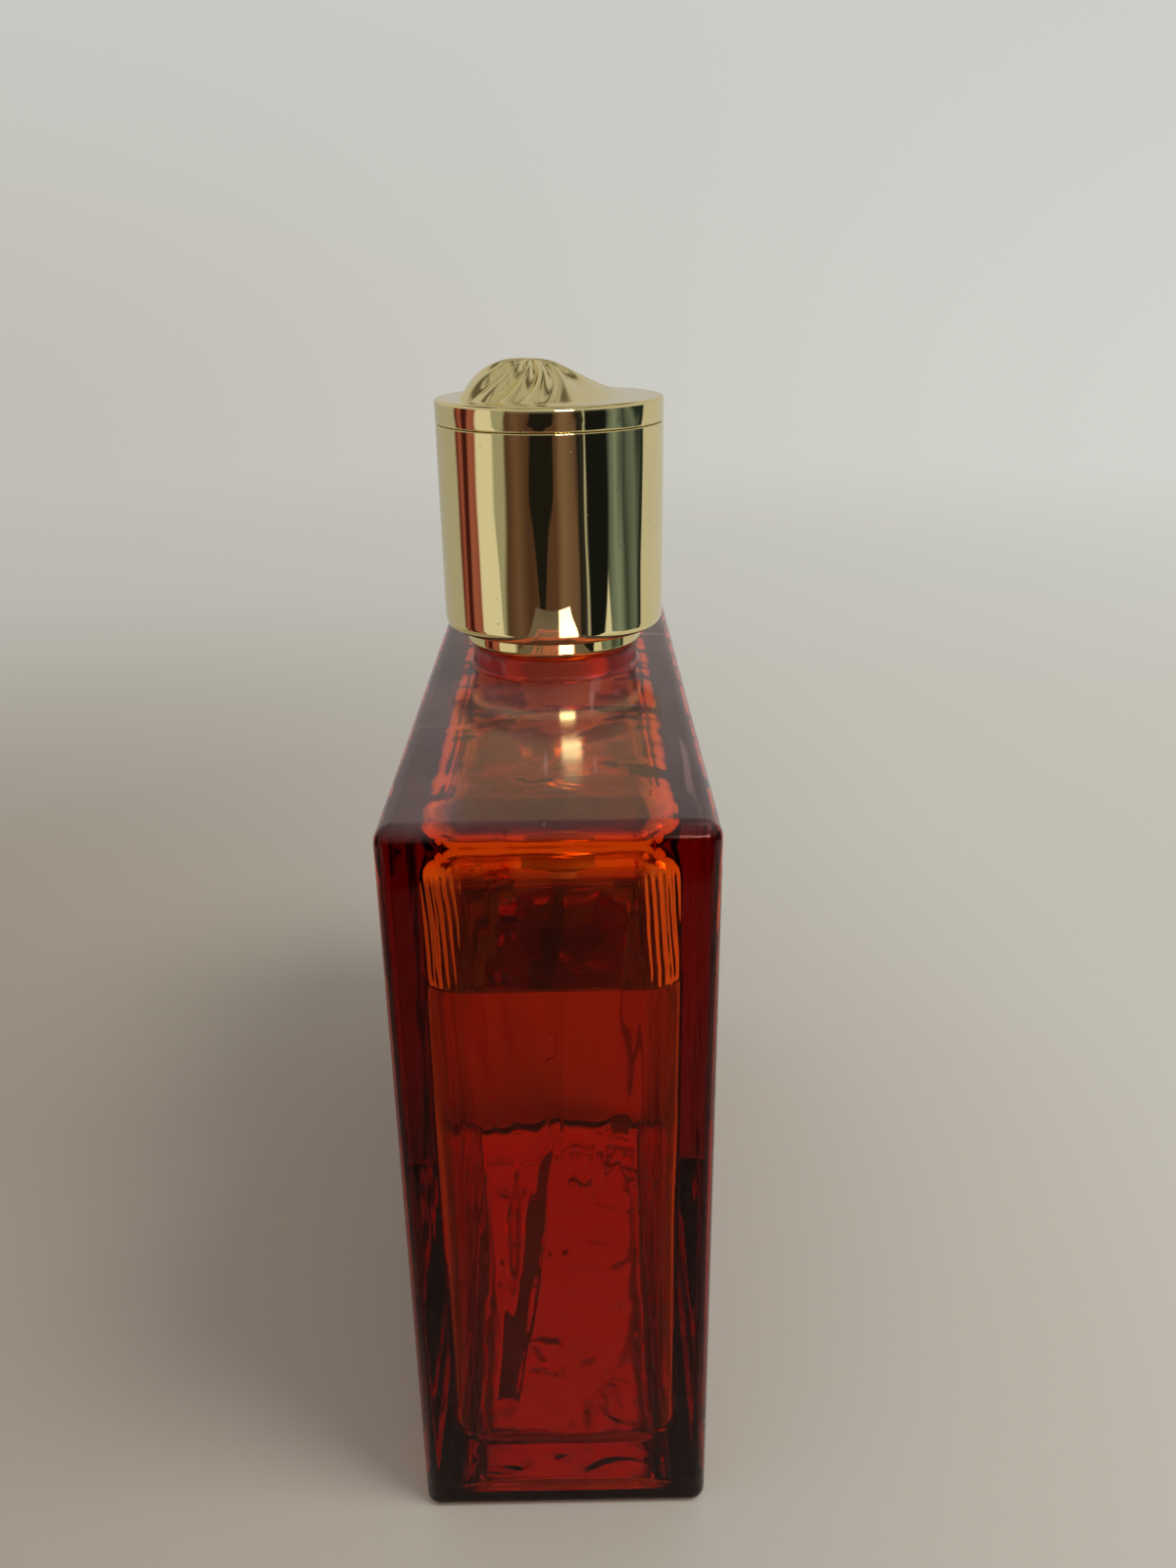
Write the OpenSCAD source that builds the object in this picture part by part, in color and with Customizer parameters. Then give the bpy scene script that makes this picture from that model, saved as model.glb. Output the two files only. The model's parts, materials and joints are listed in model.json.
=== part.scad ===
// Spray flask for perfume: a thick glass block with a crimped fine-mist pump,
// a metal collar and a lift-off metal cap. Millimetres, +Z up, origin at the
// centre of the base, broad face along X.

/* [Glass] */
// Width of the flask across its broad face
glass_width = 100; // [94:1:120]
// Thickness of the flask from front to back
glass_thickness = 30; // [28:0.5:36]
// Height of the flat top above the base
glass_height = 80; // [76:1:100]
// Glass in each broad wall
side_wall = 3; // [2.5:0.25:6]
// Glass in each narrow end wall
end_wall = 6; // [5:0.5:10]
// Glass in the base
base_wall = 4; // [3:0.5:8]
// Glass over the cavity
top_wall = 4; // [3:0.5:5]
// Height of the perfume's surface above the base
fill_height = 62; // [40:1:64]

/* [Pump] */
// Travel of the button
stroke = 4.2; // [3:0.1:4.2]
// Bore of the pump barrel
barrel_bore = 6.6; // [6.4:0.1:6.8]
// Outside diameter of the stem
stem_diameter = 3.2; // [3:0.1:3.3]
// Outside diameter of the dip tube
tube_diameter = 3; // [2.6:0.1:3.2]
// Bend of the dip tube away from the vertical
tube_bend = 48; // [35:1:50]
// Turn of the dip tube's bend away from the broad face
tube_turn = 10.5; // [0:0.5:12]

/* [Collar] */
// Outside diameter of the collar
collar_diameter = 20.6; // [20.4:0.1:21]
// Gap between the glass top and the collar
collar_lift = 3; // [2.8:0.1:3.4]

/* [Button] */
// Outside diameter of the button
button_diameter = 14; // [13:0.25:14.5]
// Height of the button
button_height = 10.4; // [9.5:0.1:10.4]

/* [Cap] */
// Outside diameter of the cap
cap_diameter = 25.6; // [25:0.1:28]
// Height from the glass top to the cap's lower edge
cap_lift = 5; // [4.8:0.1:6]
// Height of the top disc's edge
disc_height = 2.7; // [2:0.1:3]
// Height of the relief above the top disc
relief_height = 4; // [3:0.1:5]
// Number of ridges in the relief
relief_ridges = 13; // [9:1:17]

/* [Hidden] */
$fn = 64;

run_gap = 0.04;      // clearance of a running fit, on the radius
snug_gap = 0.02;     // clearance of a close fit, on the radius
face_gap = 0.05;     // clearance between faces of two moving parts
cut = 0.5;           // how far a cutter runs past the face it cuts

// glass
edge_round = 1.8;    // rounding of the top edges
base_round = 0.9;    // rounding of the base edges
corner_round = 1.6;  // rounding of the upright corners
cavity_edge = 4;     // rounding of the cavity's floor and roof
cavity_corner = 4;   // rounding of the cavity's upright corners
cavity_low = base_wall;
cavity_high = glass_height - top_wall;
pad_radius = 9.7;    // low round pad under the collar
pad_height = 2.4;
pad_fillet = 0.7;
neck_radius = 6.6;   // neck below the bead
bead_radius = 7.5;
bead_low = glass_height + 4;
neck_top = glass_height + 7.8;
neck_bore_radius = 4.9;

// pump, from the neck's top down
gasket_height = 0.7;
flange_low = neck_top + gasket_height;
flange_high = flange_low + 1;
flange_radius = 7.2;
barrel_radius = 4.3;
bore_radius = barrel_bore / 2;
barrel_depth = 20;   // from the flange's top to the spring's seat
spring_seat = flange_high - barrel_depth;
ball_radius = 1.25;
cage_radius = 1.6;
cage_depth = 2.6;
cage_low = spring_seat - cage_depth;
seat_radius = 0.9;
seat_depth = 1.4;
socket_high = cage_low - seat_depth;
socket_depth = 5;
socket_low = socket_high - socket_depth;
tail_radius = 2.2;
barrel_low = spring_seat - 1;
ball_gap = 0.03;
ball_height = cage_low + sqrt(pow(ball_radius, 2) - pow(seat_radius, 2)) + ball_gap;
vent_height = flange_high - 5.4;

// dip tube: upright in its socket, one smooth bend, then straight to the corner
tube_radius = tube_diameter / 2;
tube_bend_radius = 44;
tube_steps = 12;
tube_sides = 16;
tube_wall = 0.6;
tube_straight = socket_low - 2.5;
tube_foot = cavity_low + 2.2;
tube_arc_end = tube_straight - tube_bend_radius * sin(tube_bend);
tube_tail = (tube_arc_end - tube_foot) / cos(tube_bend);

// stem and piston
stem_radius = stem_diameter / 2;
stem_low = spring_seat + 10;
stem_high = flange_high + 8.5;
stem_bore = 0.7;
stem_foot_height = 1.2;
stem_foot_radius = 2.3;
stop_low = stem_low + 5.5;
stop_high = stop_low + 0.6;
port_height = stem_low + stem_foot_height + 0.9;
port_radius = 0.4;
piston_low = stem_low + stem_foot_height + face_gap;
piston_length = 3.6;

// spring
wire_radius = 0.25;
coil_radius = 2.45;
coil_turns = 7;
coil_steps = 18;
wire_sides = 8;
coil_gap = 0.02;     // room at each end of the coil

// turret, ferrule and clip
seal_low = stop_high + face_gap;
seal_high = seal_low + 0.8;
turret_flange = 4.2;
turret_flange_high = flange_high + 0.6;
turret_chimney = 2.5;
turret_high = flange_high + 1.7;
ferrule_wall = 0.4;
ferrule_radius = 7.9;
ferrule_high = flange_high + ferrule_wall;
curl_low = bead_low - 0.6;
collar_radius = collar_diameter / 2;
collar_wall = 0.5;
collar_low = glass_height + collar_lift;
collar_high = ferrule_high + 5.1;
clip_low = collar_low + 0.8;
clip_high = ferrule_high + 2.2;
clip_lip = 7.35;

// button
button_radius = button_diameter / 2;
button_low = ferrule_high + stroke + 0.3;
button_high = button_low + button_height;
sleeve_wall = 0.5;
core_radius = button_radius - sleeve_wall;
core_wall = 1;
nozzle_height = button_high - 3.6;
nozzle_radius = 2;
nozzle_length = 2.2;
core_pocket = button_low + 1.7;
dish_radius = 18;
dish_depth = 0.5;

// cap
cap_radius = cap_diameter / 2;
shell_wall = 0.8;
cap_low = glass_height + cap_lift;
shell_height = 22.7;
cap_seam = cap_low + shell_height;
cap_high = cap_seam + disc_height;
rim_round = 1.2;
liner_bore = collar_radius + 0.05;
liner_radius = cap_radius - shell_wall;
liner_low = cap_low + shell_wall;
liner_roof = button_high + 0.6;
liner_high = liner_roof + 1;
seam_gap = 0.05;
spigot_radius = liner_radius;
spigot_wall = 1;
relief_shift = 1.8;  // the relief's top sits towards the front
relief_radius = 9.4;
ridge_thickness = 0.9;
ridge_start = 1.2;   // how far from the relief's top a ridge begins
knob_radius = 1.3;

// corner posts of a block, rounded at one end by an edge; the plain end stops short
module soft_posts(width, depth, z, reach, edge, corner) {
    for (a = [15:15:90], sx = [-1, 1], sy = [-1, 1]) {
        inset = edge * (1 - sin(a));
        drop = edge * (1 - cos(a));
        x = sx * (width / 2 - corner);
        y = sy * (depth / 2 - corner);
        low = reach > 0 ? z + drop : z + reach;
        translate([x, y, low])
            cylinder(r = corner - inset, h = abs(reach) - drop, $fn = 32);
    }
}

// block with rounded edges, from one hull of corner posts round a plain core,
// whose flat ends have four sharp corners so that it stands without rocking
module soft_block(width, depth, low, high, low_edge, high_edge, corner) {
    core = max(low_edge, high_edge);
    tall = high - low;
    hull() {
        translate([low_edge - width / 2, low_edge - depth / 2, low])
            cube([width - 2 * low_edge, depth - 2 * low_edge, tall - core]);
        translate([high_edge - width / 2, high_edge - depth / 2, low + core])
            cube([width - 2 * high_edge, depth - 2 * high_edge, tall - core]);
        soft_posts(width, depth, low, tall - high_edge, low_edge, corner);
        soft_posts(width, depth, high, low_edge - tall, high_edge, corner);
    }
}

// round part cut from a profile of [radius, height] points
module turned(points) {
    rotate_extrude($fn = 96) polygon(points);
}

// upright round cutter that runs a little past its upper end
module drill(radius, low, depth) {
    translate([0, 0, low]) cylinder(r = radius, h = depth + cut);
}

// plain ring
module ring(inner, outer, low, high) {
    translate([0, 0, low])
        difference() {
            cylinder(r = outer, h = high - low);
            translate([0, 0, -cut]) cylinder(r = inner, h = high - low + 2 * cut);
        }
}

module cavity() {
    soft_block(
        glass_width - 2 * end_wall, glass_thickness - 2 * side_wall,
        cavity_low, cavity_high, cavity_edge, cavity_edge, cavity_corner
    );
}

// pad with a hollow fillet at its foot and a soft upper edge
module neck_pad() {
    steps = [0:15:90];
    soft = 0.5;
    low = glass_height - cut;
    foot = [for (a = steps) [
        pad_radius + pad_fillet * (1 - sin(a)),
        glass_height + pad_fillet * (1 - cos(a))
    ]];
    top = [for (a = steps) [
        pad_radius - soft * (1 - cos(a)),
        glass_height + pad_height - soft * (1 - sin(a))
    ]];
    outline = concat([[0, low], [pad_radius + pad_fillet, low]], foot, top);
    turned(concat(outline, [[0, glass_height + pad_height]]));
}

// neck with the bead that the ferrule is crimped under
module neck() {
    soft = 0.6;
    low = glass_height;
    turned([
        [0, low], [neck_radius, low], [neck_radius, bead_low - soft],
        [bead_radius, bead_low + soft / 2], [bead_radius, neck_top - soft],
        [bead_radius - soft, neck_top], [0, neck_top]
    ]);
}

module glass_bottle() {
    color([0.55, 0.04, 0.02, 0.55])
        difference() {
            union() {
                soft_block(
                    glass_width, glass_thickness, 0, glass_height,
                    base_round, edge_round, corner_round
                );
                neck_pad();
                neck();
            }
            cavity();
            drill(neck_bore_radius, cavity_high - cut, neck_top - cavity_high + cut);
        }
}

// stations along the tube: [along the bend, height, tilt], longer by extra at both ends
function tube_stations(extra) = concat(
    [[0, socket_high + extra, 0]],
    [for (i = [0:tube_steps]) let (a = tube_bend * i / tube_steps)
        [tube_bend_radius * (1 - cos(a)), tube_straight - tube_bend_radius * sin(a), a]],
    [[
        tube_bend_radius * (1 - cos(tube_bend)) + (tube_tail + extra) * sin(tube_bend),
        tube_arc_end - (tube_tail + extra) * cos(tube_bend), tube_bend
    ]]
);

module tube_shape(radius, extra) {
    stations = tube_stations(extra);
    count = len(stations);
    points = [
        for (s = stations, k = [0:tube_sides - 1])
            let (side = 360 * (k + 0.5) / tube_sides, across = radius * cos(side))
            [s[0] + across * cos(s[2]), radius * sin(side), s[1] + across * sin(s[2])]
    ];
    walls = [
        for (i = [0:count - 2], k = [0:tube_sides - 1])
            let (next = (k + 1) % tube_sides, a = i * tube_sides, b = a + tube_sides)
            [a + next, b + next, b + k, a + k]
    ];
    top = [[for (k = [tube_sides - 1:-1:0]) k]];
    foot = [[for (k = [0:tube_sides - 1]) (count - 1) * tube_sides + k]];
    rotate([0, 0, -tube_turn]) polyhedron(points, concat(top, walls, foot));
}

module dip_tube() {
    color([0.9, 0.85, 0.8, 0.6])
        difference() {
            tube_shape(tube_radius, 0);
            tube_shape(tube_radius - tube_wall, cut);
        }
}

module perfume() {
    color([0.75, 0.1, 0.03, 0.5])
        difference() {
            intersection() {
                cavity();
                translate([-glass_width, -glass_width, 0])
                    cube([2 * glass_width, 2 * glass_width, fill_height]);
            }
            tube_shape(tube_radius, 0);
            drill(tail_radius + run_gap, socket_low, glass_height);
        }
}

module pump_housing() {
    color([0.93, 0.93, 0.9])
        difference() {
            turned([
                [0, socket_low], [tail_radius, socket_low], [tail_radius, socket_high],
                [barrel_radius, barrel_low], [barrel_radius, flange_low],
                [flange_radius, flange_low], [flange_radius, flange_high], [0, flange_high]
            ]);
            drill(bore_radius, spring_seat, barrel_depth);
            drill(cage_radius, cage_low, cage_depth);
            drill(seat_radius, socket_high - cut, seat_depth + cut);
            drill(tube_radius, socket_low - cut, socket_depth);
            translate([0, 0, vent_height])
                rotate([0, 90, 0]) cylinder(r = port_radius, h = 2 * barrel_radius);
        }
}

module inlet_ball() {
    color([0.75, 0.76, 0.78]) translate([0, 0, ball_height]) sphere(r = ball_radius);
}

// one turn of wire after another, as one closed tube along a helix
module return_spring() {
    count = coil_turns * coil_steps;
    low = spring_seat + wire_radius + coil_gap;
    high = stem_low - wire_radius - face_gap;
    rise = (high - low) / count;
    points = [
        for (i = [0:count], k = [0:wire_sides - 1])
            let (
                turn = 360 * i / coil_steps,
                side = 360 * k / wire_sides,
                r = coil_radius + wire_radius * cos(side)
            )
            [r * cos(turn), r * sin(turn), low + rise * i + wire_radius * sin(side)]
    ];
    walls = [
        for (i = [0:count - 1], k = [0:wire_sides - 1])
            let (next = (k + 1) % wire_sides, a = i * wire_sides, b = a + wire_sides)
            [a + k, b + k, b + next, a + next]
    ];
    start = [[for (k = [0:wire_sides - 1]) k]];
    end = [[for (k = [wire_sides - 1:-1:0]) count * wire_sides + k]];
    color([0.7, 0.71, 0.74]) polyhedron(points, concat(start, walls, end));
}

module piston() {
    low = piston_low;
    high = piston_low + piston_length;
    outer = bore_radius - run_gap;
    inner = stem_radius + run_gap;
    waist = outer - 0.6;
    lip = outer - 0.2;
    web = outer - 0.5;
    recess = 0.3;
    seal = 0.9;
    taper = 1.4;
    color([0.95, 0.95, 0.93])
        turned([
            [inner, low + recess], [web, low + recess], [lip, low], [outer, low],
            [outer, low + seal], [waist, low + taper], [waist, high - taper],
            [outer, high - seal], [outer, high], [lip, high], [web, high - recess],
            [inner, high - recess]
        ]);
}

module stem() {
    bore_low = port_height - 0.5;
    color([0.96, 0.96, 0.94])
        difference() {
            union() {
                translate([0, 0, stem_low]) cylinder(r = stem_radius, h = stem_high - stem_low);
                translate([0, 0, stem_low]) cylinder(r = stem_foot_radius, h = stem_foot_height);
                translate([0, 0, stop_low]) cylinder(r = stem_foot_radius, h = stop_high - stop_low);
            }
            drill(stem_bore, bore_low, stem_high - bore_low);
            translate([-stem_diameter, 0, port_height])
                rotate([0, 90, 0]) cylinder(r = port_radius, h = 2 * stem_diameter);
        }
}

module stem_gasket() {
    color([0.12, 0.12, 0.12]) ring(stem_radius + snug_gap, bore_radius, seal_low, seal_high);
}

module turret() {
    hole = stem_radius + run_gap;
    color([0.9, 0.9, 0.88])
        turned([
            [hole, seal_high], [bore_radius, seal_high], [bore_radius, flange_high],
            [turret_flange, flange_high], [turret_flange, turret_flange_high],
            [turret_chimney, turret_flange_high], [turret_chimney, turret_high],
            [hole, turret_high]
        ]);
}

module neck_gasket() {
    washer_inner = barrel_radius + 0.3;
    washer_outer = flange_radius + 0.1;
    color([0.15, 0.15, 0.15]) ring(washer_inner, washer_outer, neck_top, flange_low);
}

module ferrule() {
    wall = ferrule_wall;
    inner = bead_radius + 0.01;
    step = turret_flange + snug_gap;
    crown = turret_flange_high + wall;
    hole = turret_chimney + 0.1;
    curl = neck_radius + 0.15;
    soft = 0.3;
    color([0.82, 0.82, 0.84])
        turned([
            [curl, curl_low], [ferrule_radius - soft, curl_low],
            [ferrule_radius, curl_low + soft], [ferrule_radius, ferrule_high],
            [step + wall, ferrule_high], [step + wall, crown], [hole, crown],
            [hole, turret_flange_high], [step, turret_flange_high], [step, flange_high],
            [inner, flange_high], [inner, bead_low + 0.25], [curl, curl_low + 0.1]
        ]);
}

module collar_clip() {
    inner = ferrule_radius;
    outer = collar_radius - collar_wall;
    color([0.85, 0.85, 0.83])
        turned([
            [inner, clip_low], [outer, clip_low], [outer, clip_high],
            [clip_lip, clip_high], [clip_lip, ferrule_high], [inner, ferrule_high]
        ]);
}

module collar() {
    r = collar_radius;
    soft = 0.35;
    hole = button_radius + 0.5;
    roof = collar_high - collar_wall;
    color([0.85, 0.74, 0.42])
        turned([
            [r - collar_wall, collar_low], [r - soft, collar_low], [r, collar_low + soft],
            [r, collar_high - soft], [r - soft, collar_high], [hole, collar_high],
            [hole, roof], [r - collar_wall, roof]
        ]);
}

// the dish that a fingertip presses, sunk by an extra depth
module dish(sunk) {
    translate([0, 0, button_high - dish_depth - sunk + dish_radius]) sphere(r = dish_radius);
}

// level cutter from the button's axis out through its front
module front_drill(radius, start) {
    translate([0, -start, nozzle_height])
        rotate([90, 0, 0]) cylinder(r = radius, h = button_radius - start + cut);
}

module actuator_core() {
    roof = button_high - sleeve_wall;
    boss = 2.8;
    boss_low = core_pocket - 0.4;
    color([0.93, 0.91, 0.85])
        difference() {
            translate([0, 0, button_low]) cylinder(r = core_radius, h = roof - button_low);
            difference() {
                translate([0, 0, button_low - cut])
                    cylinder(r = core_radius - core_wall, h = core_pocket - button_low + cut);
                translate([0, 0, boss_low]) cylinder(r = boss, h = core_pocket - boss_low + cut);
            }
            translate([0, 0, button_low])
                cylinder(r = stem_radius + snug_gap, h = stem_high + face_gap - button_low);
            translate([0, 0, stem_high]) cylinder(r = stem_bore, h = nozzle_height - stem_high);
            front_drill(stem_bore, 0);
            front_drill(nozzle_radius, core_radius - nozzle_length);
            dish(sleeve_wall);
        }
}

module actuator_sleeve() {
    color([0.86, 0.76, 0.44])
        difference() {
            translate([0, 0, button_low]) cylinder(r = button_radius, h = button_height);
            difference() {
                translate([0, 0, button_low - cut])
                    cylinder(r = core_radius, h = button_height - sleeve_wall + cut);
                dish(sleeve_wall);
            }
            dish(0);
            front_drill(nozzle_radius + 0.15, core_radius - sleeve_wall);
        }
}

module nozzle_insert() {
    length = nozzle_length + 0.1;
    orifice = 0.2;
    swirl_chamber = 0.8;
    flare = 0.9;
    flare_depth = 0.3;
    color([0.9, 0.9, 0.9])
        translate([0, nozzle_length - core_radius, nozzle_height])
            rotate([90, 0, 0])
                difference() {
                    cylinder(r = nozzle_radius, h = length);
                    translate([0, 0, -cut]) cylinder(r = swirl_chamber, h = nozzle_length - 0.7 + cut);
                    cylinder(r = orifice, h = length);
                    translate([0, 0, length - flare_depth])
                        cylinder(r1 = orifice, r2 = flare, h = flare_depth + face_gap);
                }
}

module cap_shell() {
    r = cap_radius;
    inner = r - shell_wall;
    rim = liner_bore + 0.3;
    arc = [for (a = [0:15:90]) [
        r - rim_round * (1 - sin(a)),
        cap_low + rim_round * (1 - cos(a))
    ]];
    color([0.88, 0.79, 0.48])
        turned(concat(
            [[rim, cap_low]], arc,
            [[r, cap_seam], [inner, cap_seam], [inner, liner_low], [rim, liner_low]]
        ));
}

module cap_liner() {
    lead = 0.3;
    color([0.92, 0.92, 0.9])
        turned([
            [liner_bore + lead, liner_low], [liner_radius, liner_low], [liner_radius, liner_high],
            [0, liner_high], [0, liner_roof], [liner_bore, liner_roof], [liner_bore, liner_low + lead]
        ]);
}

module cap_weight() {
    hole = 2;
    color([0.5, 0.5, 0.52])
        ring(hole, spigot_radius - spigot_wall, liner_high, cap_seam + seam_gap);
}

// a ridge of the relief runs down from its top to the disc
module relief_ridge(angle, reach) {
    high = relief_height - ridge_thickness;
    run = reach - ridge_start;
    slope = atan2(high, run);
    rotate([0, 0, angle])
        translate([ridge_start, 0, high])
            rotate([0, 90 + slope, 0]) cylinder(r = ridge_thickness, h = run / cos(slope));
}

module cap_top() {
    r = cap_radius;
    soft = 0.5;
    low = cap_seam + seam_gap;
    mound_height = 0.78 * relief_height;
    mound = [for (t = [1:-0.1:0]) [relief_radius * t, mound_height * (1 + cos(180 * t)) / 2]];
    sunk = 0.3;
    color([0.9, 0.82, 0.52]) {
        turned([
            [0, low], [spigot_radius - spigot_wall, low], [spigot_radius - spigot_wall, liner_high],
            [spigot_radius, liner_high], [spigot_radius, low], [r, low], [r, cap_high - soft],
            [r - soft, cap_high], [0, cap_high]
        ]);
        translate([0, -relief_shift, cap_high]) {
            turned(concat([[0, -sunk], [relief_radius, -sunk]], mound));
            translate([0, 0, relief_height - knob_radius]) sphere(r = knob_radius);
            for (i = [0:relief_ridges - 1])
                relief_ridge(360 * i / relief_ridges, relief_radius - cut);
        }
    }
}

glass_bottle();
perfume();
dip_tube();
pump_housing();
inlet_ball();
return_spring();
piston();
stem();
stem_gasket();
turret();
neck_gasket();
ferrule();
collar_clip();
collar();
actuator_core();
actuator_sleeve();
nozzle_insert();
cap_shell();
cap_liner();
cap_weight();
cap_top();
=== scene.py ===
# %% [markdown]
# # A red glass perfume flask with a gold cap
# The flask is a thick block of red glass with a crimped spray pump in its neck, a gold
# collar round the pump and a gold cap that lifts off. The engineering model already
# fixes every size and every moving part, so this lesson only builds what is seen:
# smooth glass, liquid, mirror metal, and a finish for each small hidden piece.

# %% Load the frame and keep its box
import json
import math

import bmesh
import bpy
from mathutils import Matrix, Vector


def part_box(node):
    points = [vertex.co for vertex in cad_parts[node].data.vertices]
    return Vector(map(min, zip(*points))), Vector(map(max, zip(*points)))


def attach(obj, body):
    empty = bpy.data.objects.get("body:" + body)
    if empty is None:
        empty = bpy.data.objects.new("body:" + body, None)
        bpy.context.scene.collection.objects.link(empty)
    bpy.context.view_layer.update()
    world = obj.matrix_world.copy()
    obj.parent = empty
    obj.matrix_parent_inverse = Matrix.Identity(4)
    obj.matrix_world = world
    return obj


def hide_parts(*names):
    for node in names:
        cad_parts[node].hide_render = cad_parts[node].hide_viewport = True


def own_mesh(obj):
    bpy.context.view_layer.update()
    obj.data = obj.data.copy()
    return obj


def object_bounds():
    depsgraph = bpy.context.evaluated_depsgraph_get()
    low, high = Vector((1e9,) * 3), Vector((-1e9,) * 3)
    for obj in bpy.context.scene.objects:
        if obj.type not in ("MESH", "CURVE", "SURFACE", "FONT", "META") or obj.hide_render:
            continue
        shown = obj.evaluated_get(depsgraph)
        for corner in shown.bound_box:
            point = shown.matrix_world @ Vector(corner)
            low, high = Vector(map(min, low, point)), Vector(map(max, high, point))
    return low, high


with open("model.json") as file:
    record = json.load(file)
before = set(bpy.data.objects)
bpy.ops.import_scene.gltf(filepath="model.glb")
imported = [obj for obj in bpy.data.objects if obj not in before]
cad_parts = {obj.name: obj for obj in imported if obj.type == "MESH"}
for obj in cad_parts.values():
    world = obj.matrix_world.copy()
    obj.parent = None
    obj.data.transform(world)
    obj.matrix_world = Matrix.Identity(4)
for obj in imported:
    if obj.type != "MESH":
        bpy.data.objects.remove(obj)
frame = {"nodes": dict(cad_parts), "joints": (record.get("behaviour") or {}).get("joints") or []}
cad_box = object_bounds()
nodes = frame["nodes"]
cad_corners = [tuple(round(c, 4) for c in corner) for corner in cad_box]
print("frame:", len(nodes), "nodes; box", cad_corners)

# %% [markdown]
# ## Sizes
# Everything is measured in metres from the engineering model's own boxes, so the looks
# follow the model if it changes. Sizes that no box can tell, such as the rounding of an
# edge, are named in millimetres just before the piece that they shape.

# %% Read the main sizes
MM = 0.001
NECK_RISE = 7.8 * MM
ROOF_WALL = 4 * MM


def low(node):
    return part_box(node)[0]


def high(node):
    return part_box(node)[1]


half_width = high("glass_bottle").x
half_depth = high("glass_bottle").y
neck_top = high("glass_bottle").z
glass_top = neck_top - NECK_RISE
cavity_half_width = high("perfume").x
cavity_half_depth = high("perfume").y
cavity_floor = low("perfume").z
cavity_roof = glass_top - ROOF_WALL
fill_level = high("perfume").z
flask_size = (2 * half_width, 2 * half_depth, glass_top)
print("flask measures", [round(size, 4) for size in flask_size])

# %% [markdown]
# ## The camera
# The camera stands close, a little above the cap, and looks down along the flask's length
# at its narrow end. The near end looks much bigger than the far one, so the distance
# matters as much as the angle, and the lens is a moderately wide one.

# %% Place the camera
CAMERA_PLACE = (146.85 * MM, 2.92 * MM, 123.44 * MM)
TILT_DOWN, TURN_RIGHT, ROLL = (math.radians(a) for a in (22.2, 0.32, -0.81))
camera_data = bpy.data.cameras.new("camera")
camera_data.lens = 29.0
camera_data.sensor_width = 36.0
camera_data.clip_start = 0.01
camera = bpy.data.objects.new("camera", camera_data)
bpy.context.scene.collection.objects.link(camera)
bpy.context.scene.camera = camera
camera.location = CAMERA_PLACE
level = Vector((-math.cos(TURN_RIGHT), math.sin(TURN_RIGHT), 0))
ahead = level * math.cos(TILT_DOWN) - Vector((0, 0, math.sin(TILT_DOWN)))
look = ahead.to_track_quat("-Z", "Y").to_matrix()
camera.rotation_mode = "QUATERNION"
camera.rotation_quaternion = (look @ Matrix.Rotation(ROLL, 3, "Z")).to_quaternion()
print("camera looks along", tuple(round(c, 3) for c in ahead))

# %% [markdown]
# ## Rings and lofts
# The flask changes from a rounded rectangle to a circle at its neck. A boolean of a block
# and a tube would leave long thin faces that spoil the highlights, so the whole flask is
# one loft instead: a stack of rings with the same number of points, joined ring by ring.
# Turned parts, such as the cap, are the same thing with round rings.

# %% Make rings
SIDE_STEPS = 16
CORNER_STEPS = 40
RING_POINTS = 4 * (SIDE_STEPS + CORNER_STEPS)


def eased(t):
    return 0.5 - 0.5 * math.cos(math.pi * t)


def block_ring(half_x, half_y, corner, z):
    """A rectangle with round corners, counter-clockwise from the middle of the +X side."""
    reach_x, reach_y = half_x - corner, half_y - corner
    signs = ((1, 1), (-1, 1), (-1, -1), (1, -1))
    centres = [(reach_x * sign_x, reach_y * sign_y) for sign_x, sign_y in signs]
    points = []
    for quarter, (x, y) in enumerate(centres):
        start = quarter * math.pi / 2
        for step in range(CORNER_STEPS + 1):
            a = start + math.pi / 2 * step / CORNER_STEPS
            points.append((x + corner * math.cos(a), y + corner * math.sin(a), z))
        end = start + math.pi / 2
        next_x, next_y = centres[(quarter + 1) % 4]
        for step in range(1, SIDE_STEPS):
            t = eased(step / SIDE_STEPS)
            points.append((
                x + (next_x - x) * t + corner * math.cos(end),
                y + (next_y - y) * t + corner * math.sin(end),
                z,
            ))
    half = SIDE_STEPS // 2
    return points[-half:] + points[:-half]


def round_ring(radius, z, count=RING_POINTS):
    turns = [2 * math.pi / count * k for k in range(count)]
    return [(radius * math.cos(turn), radius * math.sin(turn), z) for turn in turns]


def rounding(edge, steps=8):
    """Pairs of (inset, drop) that run round a quarter circle, from the flat face to the side."""
    angles = [math.pi / 2 * i / steps for i in range(steps + 1)]
    return [(edge * (1 - math.sin(a)), edge * (1 - math.cos(a))) for a in angles]


print("rings have", RING_POINTS, "points")

# %% [markdown]
# Rings are joined by four-sided faces. Smooth shading alone would smear light over the
# flat sides from their small rounded edges, so a Weighted Normal modifier lets the large
# faces keep their own direction. A bevel with hardened normals would do the same, but
# needs sharp edges to start from.

# %% Join rings
FLAT_FACES_FIRST = 80


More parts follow.
